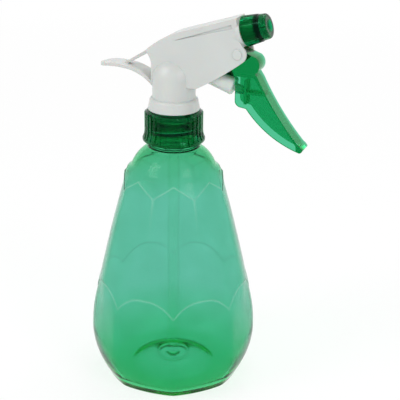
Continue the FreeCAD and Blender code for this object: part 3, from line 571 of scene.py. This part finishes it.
def shoulder_points():
    """The round shoulder, the bead and the neck."""
    points = [(RING[0] - RING_GROOVE, RING[1] + 0.3)]
    for share in steps(3):
        points.append((
            RING[0] + (CREASE[0] - RING[0]) * share,
            RING[1] + (CREASE[1] - RING[1]) * share,
        ))
    chord = Vector((BEAD[0] - CREASE[0], BEAD[1] - CREASE[1]))
    half = chord.length / 2.0
    bulge = DOME_ARC - math.sqrt(DOME_ARC ** 2 - half ** 2)
    outward = Vector((chord.y, -chord.x)).normalized()
    for share in steps(DOME_ROWS):
        lift = bulge * 4.0 * share * (1.0 - share)
        place = Vector(CREASE) + chord * share + outward * lift
        points.append((place.x, place.y))
    neck_foot_z = BEAD_TOP_Z + NECK_FOOT_RISE
    points += [
        (BEAD[0] + BEAD_BULGE, BEAD[1] + 0.3),
        (BEAD[0] + BEAD_BULGE, BEAD_TOP_Z - 0.3),
        (BEAD[0], BEAD_TOP_Z),
        (NECK_RADIUS + 0.2, BEAD_TOP_Z + 0.5),
        (NECK_RADIUS, neck_foot_z),
    ]
    for share in steps(NECK_ROWS):
        points.append((NECK_RADIUS, neck_foot_z + (NECK_TOP_Z - neck_foot_z) * share))
    return points


def facet_angles(turn):
    """The angles from the middle of the nearest petal and from the middle of the nearest panel."""
    from_petal = abs((turn + HALF) % (2.0 * HALF) - HALF)
    return from_petal, HALF - from_petal


def outer_column(turn):
    """The whole outer profile at one angle."""
    return pushup_points() + body_points(*facet_angles(turn)) + shoulder_points()


def wall_at(z):
    """The wall's thickness: heavy at the foot, thin in the body, heavy again in the neck."""
    foot = (FOOT_WALL - WALL) * math.exp(-z / FOOT_WALL_FADE)
    share = (z - ZIGZAG_LOW_Z) / (NECK_WALL_FOOT_Z - ZIGZAG_LOW_Z)
    return WALL + foot + (NECK_WALL - WALL) * min(max(share, 0.0), 1.0)


def inner_column(outer):
    """The same column moved in by the wall, from the neck's top down to the foot's middle."""
    inner = []
    for index, (radius, z) in enumerate(outer):
        before = outer[max(index - 1, 0)]
        after = outer[min(index + 1, len(outer) - 1)]
        run = Vector((after[0] - before[0], after[1] - before[1])).normalized()
        wall = wall_at(z)
        inner.append((max(radius - run.y * wall, LEAST_INNER_RADIUS), z + run.x * wall))
    inner[-1] = (inner[-1][0], NECK_TOP_Z)
    inner.reverse()
    return inner


def lathe(name, columns, poles):
    """A closed mesh from columns of points round the axis, with its two end points on the axis."""
    count = len(columns)
    rows = len(columns[0])
    vertices = []
    for index, column in enumerate(columns):
        turn = 2.0 * math.pi * index / count
        for radius, z in column:
            vertices.append((radius * math.cos(turn) * MM, radius * math.sin(turn) * MM, z * MM))
    faces = []
    for index in range(count):
        here = index * rows
        there = (index + 1) % count * rows
        for row in range(rows - 1):
            faces.append((here + row, there + row, there + row + 1, here + row + 1))
    first = len(vertices)
    vertices.append((0.0, 0.0, poles[0] * MM))
    vertices.append((0.0, 0.0, poles[1] * MM))
    for index in range(count):
        here = index * rows
        there = (index + 1) % count * rows
        faces.append((first, there, here))
        faces.append((first + 1, here + rows - 1, there + rows - 1))
    mesh = bpy.data.meshes.new(name)
    mesh.from_pydata(vertices, [], faces)
    mesh.validate()
    for polygon in mesh.polygons:
        polygon.use_smooth = True
    piece = bpy.data.objects.new(name, mesh)
    bpy.context.scene.collection.objects.link(piece)
    return piece


def mark_creases(piece, columns):
    """Write each outer point's share of a moulded edge into the mesh, where the material paints its
    highlight lines.
    """
    crease = piece.data.attributes.new("crease", "FLOAT", "POINT")
    rows = len(columns[0])
    for index, column in enumerate(columns):
        from_petal, from_panel = facet_angles(2.0 * math.pi * index / len(columns))
        for row in range(rows // 2):
            z = column[row][1]
            crease.data[index * rows + row].value = crease_share(from_petal, from_panel, z)


def smooth_inside(piece, rows):
    """The inner wall is rounder than the outer, so that every moulded edge is a little lens."""
    first = rows // 2 + len(shoulder_points()) + 1
    last = rows - INNER_FOOT_ROWS
    poles = 2
    count = len(piece.data.vertices) - poles
    inner = [index for index in range(count) if first <= index % rows < last]
    group = piece.vertex_groups.new(name="inner_body")
    group.add(inner, 1.0, "REPLACE")
    smooth = piece.modifiers.new("rounder_inside", "SMOOTH")
    smooth.vertex_group = group.name
    smooth.factor = 0.5
    smooth.iterations = 24


def make_bottle(material):
    """The bottle as one closed shell, in place of the plainer solid."""
    columns = []
    count = SECTORS * COLUMNS_PER_SECTOR
    for index in range(count):
        outer = outer_column(2.0 * math.pi * index / count)
        columns.append(outer + inner_column(outer))
    outer_middle = PUSHUP_HEIGHT - NUB_DEPTH
    piece = lathe("bottle_shell", columns, (outer_middle, outer_middle + FOOT_WALL))
    mark_creases(piece, columns)
    smooth_inside(piece, len(columns[0]))
    piece.data.materials.append(material)
    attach(piece, "bottle")
    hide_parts("bottle")


def make_thread(material):
    """The neck's screw thread, a low ridge that runs out at both ends."""
    vertices = []
    faces = []
    sunk = NECK_RADIUS - THREAD_SINK
    for index in range(THREAD_SEGMENTS + 1):
        share = index / THREAD_SEGMENTS
        turn = 2.0 * math.pi * THREAD_TURNS * share
        z = THREAD_START_Z + THREAD_PITCH * THREAD_TURNS * share
        fade = min(1.0, share * THREAD_RUNOUTS, (1.0 - share) * THREAD_RUNOUTS)
        crest = NECK_RADIUS + THREAD_HEIGHT * fade
        for radius, rise in (
            (sunk, -THREAD_HALF_FOOT),
            (crest, -THREAD_HALF_CREST),
            (crest, THREAD_HALF_CREST),
            (sunk, THREAD_HALF_FOOT),
        ):
            x = radius * math.cos(turn)
            y = radius * math.sin(turn)
            vertices.append((x * MM, y * MM, (z + rise) * MM))
    for index in range(THREAD_SEGMENTS):
        here = index * 4
        for side in range(4):
            following = (side + 1) % 4
            faces.append((here + side, here + following, here + 4 + following, here + 4 + side))
    last = THREAD_SEGMENTS * 4
    faces.append((3, 2, 1, 0))
    faces.append((last, last + 1, last + 2, last + 3))
    mesh = bpy.data.meshes.new("neck_thread")
    mesh.from_pydata(vertices, [], faces)
    piece = bpy.data.objects.new("neck_thread", mesh)
    bpy.context.scene.collection.objects.link(piece)
    mesh.materials.append(material)
    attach(piece, "bottle")


# Floor, light and camera

def make_floor():
    """Pale paper that takes the object's soft shadow and fades to plain white further out."""
    material, tree, shader = new_material("floor_paper")
    color = mottle(tree, 4.0, (0.94, 0.94, 0.94), (0.955, 0.955, 0.955))
    tree.links.new(color, shader.inputs["Base Color"])
    shader.inputs["Roughness"].default_value = 0.9
    shader.inputs["Specular IOR Level"].default_value = 0.0
    path = add(tree, "ShaderNodeLightPath")
    glow = add(tree, "ShaderNodeEmission")
    glow.inputs["Color"].default_value = (1.0, 1.0, 1.0, 1.0)
    place = add(tree, "ShaderNodeTexCoord")
    distance = add(tree, "ShaderNodeVectorMath", operation="LENGTH")
    fade = add(tree, "ShaderNodeMapRange")
    fade.inputs["From Min"].default_value = 0.25
    fade.inputs["From Max"].default_value = 1.0
    fade.inputs["To Min"].default_value = 0.8
    fade.inputs["To Max"].default_value = 1.0
    part = add(tree, "ShaderNodeMath", operation="MULTIPLY")
    indirect = add(tree, "ShaderNodeMath", operation="MAXIMUM")
    seen = add(tree, "ShaderNodeMath", operation="MAXIMUM")
    tree.links.new(place.outputs["Object"], distance.inputs[0])
    tree.links.new(distance.outputs["Value"], fade.inputs["Value"])
    tree.links.new(path.outputs["Is Camera Ray"], part.inputs[0])
    tree.links.new(fade.outputs["Result"], part.inputs[1])
    tree.links.new(path.outputs["Is Glossy Ray"], indirect.inputs[0])
    tree.links.new(path.outputs["Is Transmission Ray"], indirect.inputs[1])
    tree.links.new(part.outputs["Value"], seen.inputs[0])
    tree.links.new(indirect.outputs["Value"], seen.inputs[1])
    mix = add(tree, "ShaderNodeMixShader")
    tree.links.new(seen.outputs["Value"], mix.inputs["Fac"])
    tree.links.new(shader.outputs["BSDF"], mix.inputs[1])
    tree.links.new(glow.outputs["Emission"], mix.inputs[2])
    tree.links.new(mix.outputs["Shader"], tree.nodes["Material Output"].inputs["Surface"])
    mesh = bpy.data.meshes.new("floor")
    reach = 6.0
    mesh.from_pydata(
        [(-reach, -reach, 0.0), (reach, -reach, 0.0), (reach, reach, 0.0), (-reach, reach, 0.0)],
        [],
        [(0, 1, 2, 3)],
    )
    mesh.materials.append(material)
    floor = bpy.data.objects.new("floor", mesh)
    bpy.context.scene.collection.objects.link(floor)


def make_world():
    """White to the camera, in reflections and through clear plastic, and plain grey elsewhere."""
    world = bpy.data.worlds.new("studio")
    world.use_nodes = True
    bpy.context.scene.world = world
    tree = world.node_tree
    background = tree.nodes["Background"]
    background.inputs["Color"].default_value = (1.0, 1.0, 1.0, 1.0)
    path = add(tree, "ShaderNodeLightPath")
    seen = add(tree, "ShaderNodeMath", operation="MAXIMUM")
    either = add(tree, "ShaderNodeMath", operation="MAXIMUM")
    level = add(tree, "ShaderNodeMapRange")
    level.inputs["To Min"].default_value = 0.5
    level.inputs["To Max"].default_value = 1.0
    tree.links.new(path.outputs["Is Camera Ray"], seen.inputs[0])
    tree.links.new(path.outputs["Is Glossy Ray"], seen.inputs[1])
    tree.links.new(seen.outputs["Value"], either.inputs[0])
    tree.links.new(path.outputs["Is Transmission Ray"], either.inputs[1])
    tree.links.new(either.outputs["Value"], level.inputs["Value"])
    tree.links.new(level.outputs["Result"], background.inputs["Strength"])


def make_lamp(name, place, width, height, power):
    """A soft rectangular lamp that points at the object."""
    data = bpy.data.lights.new(name, "AREA")
    data.shape = "RECTANGLE"
    data.size = width
    data.size_y = height
    data.energy = power
    lamp = bpy.data.objects.new(name, data)
    bpy.context.scene.collection.objects.link(lamp)
    lamp.location = place
    lamp.rotation_euler = (Vector(LAMP_AIM) - Vector(place)).to_track_quat("-Z", "Y").to_euler()


def make_camera():
    """The photograph's view: 22.5 degrees towards the nozzle's side and about 21 degrees above."""
    away = Vector((
        math.sin(CAMERA_AZIMUTH) * math.cos(CAMERA_ELEVATION),
        -math.cos(CAMERA_AZIMUTH) * math.cos(CAMERA_ELEVATION),
        math.sin(CAMERA_ELEVATION),
    ))
    place = Vector(CAMERA_TARGET) + away * CAMERA_DISTANCE
    data = bpy.data.cameras.new("camera")
    data.sensor_width = SENSOR_WIDTH
    data.lens = SENSOR_WIDTH * FOCAL_LENGTH / PICTURE_WIDTH
    camera = bpy.data.objects.new("camera", data)
    bpy.context.scene.collection.objects.link(camera)
    camera.matrix_world = (
        Matrix.Translation(place)
        @ Matrix.Rotation(CAMERA_AZIMUTH - CAMERA_YAW, 4, "Z")
        @ Matrix.Rotation(math.pi / 2.0 - CAMERA_PITCH, 4, "X")
        @ Matrix.Rotation(CAMERA_ROLL, 4, "Z")
    )
    bpy.context.scene.camera = camera


bottle_green = bottle_plastic()
make_bottle(bottle_green)
make_thread(bottle_green)

white = white_plastic()
rubber = seal_rubber()
dress("closure_cap", cap_plastic())
dress("sprayer_housing", white)
dress("tube_retainer", white)
dress("neck_gasket", rubber)
dress("dip_tube", tube_plastic())
dress("trigger", trigger_plastic())
dress("pump_piston", piston_plastic())
dress("piston_seal", rubber)
dress("nozzle", nozzle_plastic())
dress("nozzle_seal", rubber)
dress("spinner", white)
dress("return_spring", spring_steel())
dress("inlet_ball", spring_steel())
dress("outlet_ball", spring_steel())

make_floor()
make_world()
make_lamp("key_lamp", (-0.9, -1.0, 1.1), 0.7, 0.9, 11.0)
make_lamp("fill_lamp", (1.2, -0.7, 0.8), 0.5, 0.9, 6.5)
make_lamp("top_lamp", (0.1, 0.5, 1.4), 0.9, 0.9, 7.0)
make_camera()
bpy.context.scene.view_settings.view_transform = "Standard"
